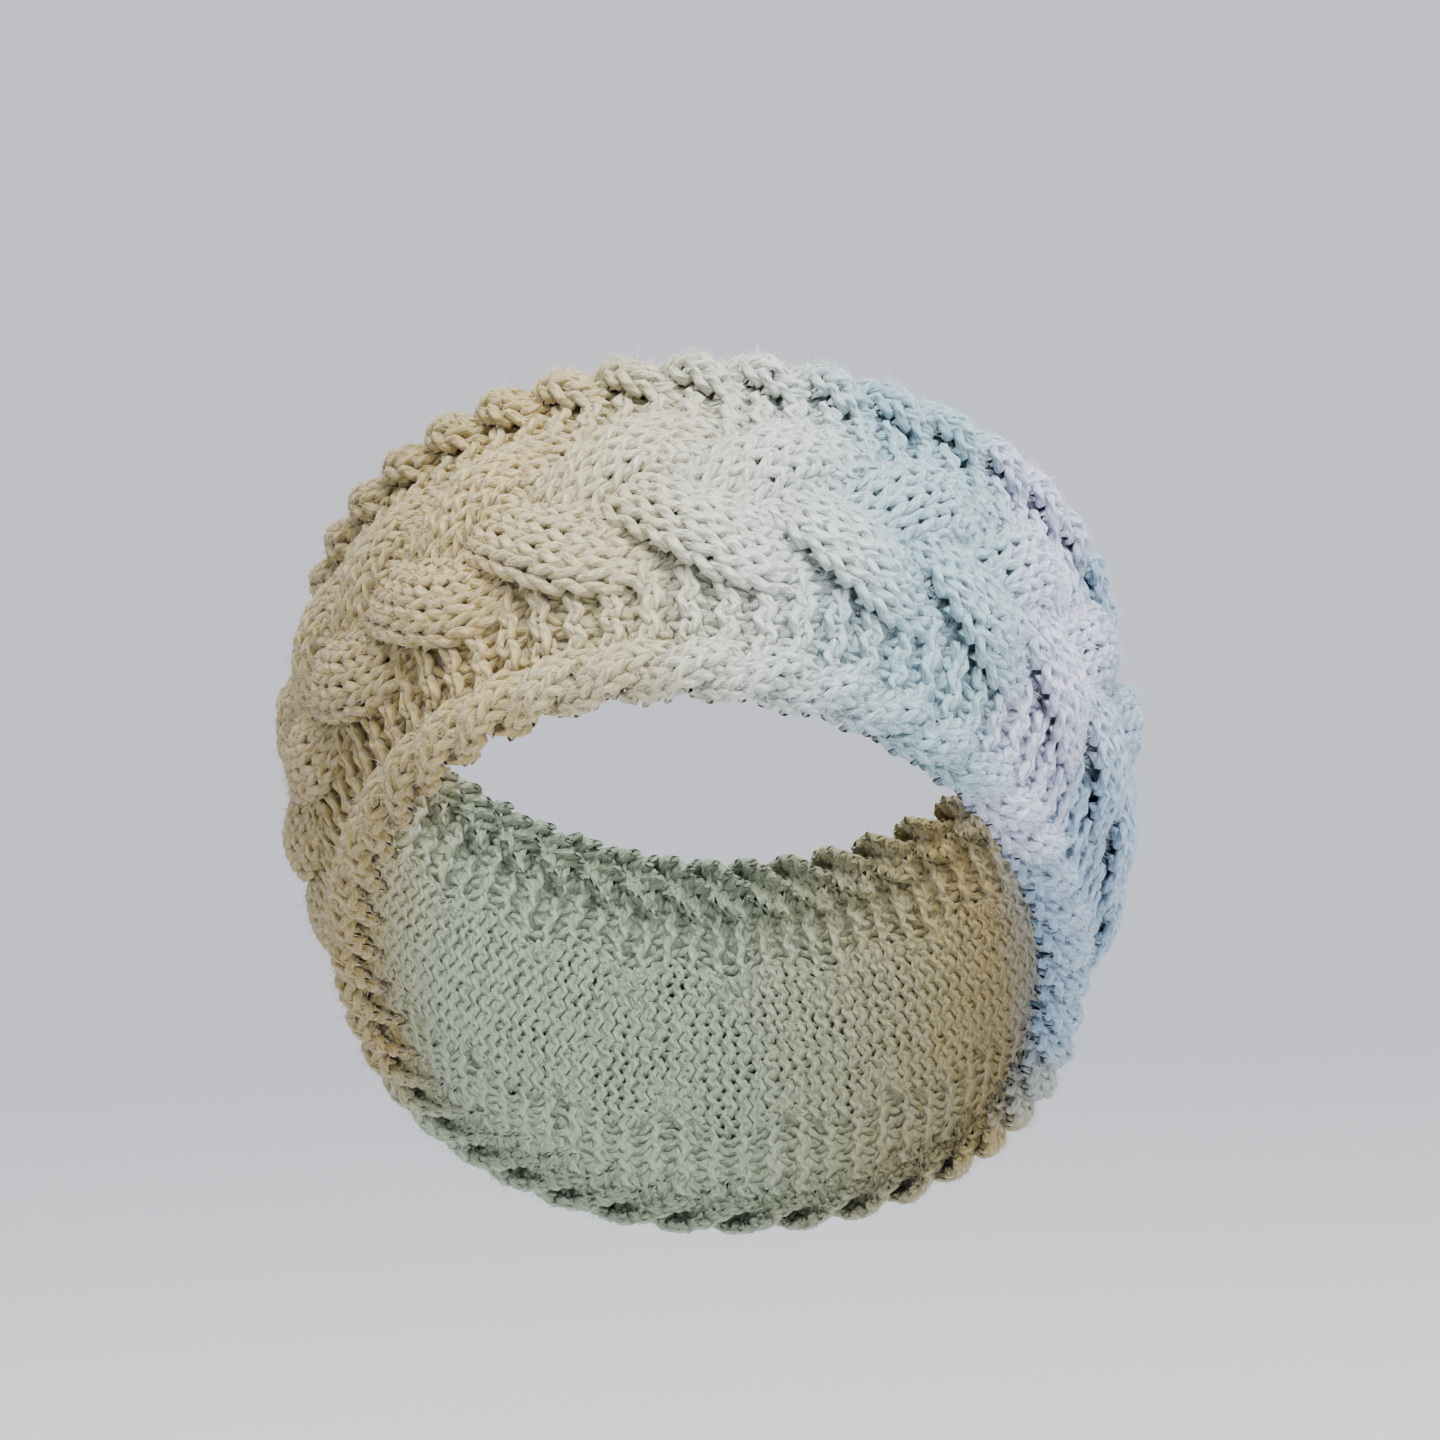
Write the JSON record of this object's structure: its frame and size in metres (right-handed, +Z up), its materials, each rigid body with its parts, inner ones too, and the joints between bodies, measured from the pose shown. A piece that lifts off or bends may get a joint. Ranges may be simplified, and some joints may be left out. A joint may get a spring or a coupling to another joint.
{
  "type": "ear warmer headband",
  "caption": "Hand-knitted wool ear warmer headband: a wide loop with a plaited cable between garter gutters and rope cable edges, held in its worn form.",
  "frame": {"origin": "the mount head_seat: the middle of the loop, inside the hollow that the head fills", "axes": "+Z up along the wearer's upright head, -Y towards the wearer's front, +X to the right as seen from the front; the loop's own plane is tilted about X so that the front sits high and the nape low"},
  "size_m": [0.1772, 0.194, 0.1878],
  "materials": {
    "gutter_knit": "garter knit in soft worsted wool, slowly changing from cream and tan to pale aqua, lavender and grey, matt with a fine halo",
    "plait_knit": "stockinette knit in soft worsted wool, slowly changing from cream and tan to pale aqua, lavender and grey, matt with a fine halo",
    "rope_knit": "twisted cable knit in soft worsted wool, slowly changing from cream and tan to pale aqua, lavender and grey, matt with a fine halo"
  },
  "bodies": {
    "root": {"plait_ground": "gutter_knit", "lower_gutter": "gutter_knit", "upper_gutter": "gutter_knit", "plait_strand_1": "plait_knit", "plait_strand_2": "plait_knit", "plait_strand_3": "plait_knit", "lower_rope_edge": "rope_knit", "upper_rope_edge": "rope_knit"}
  },
  "joints": []
}
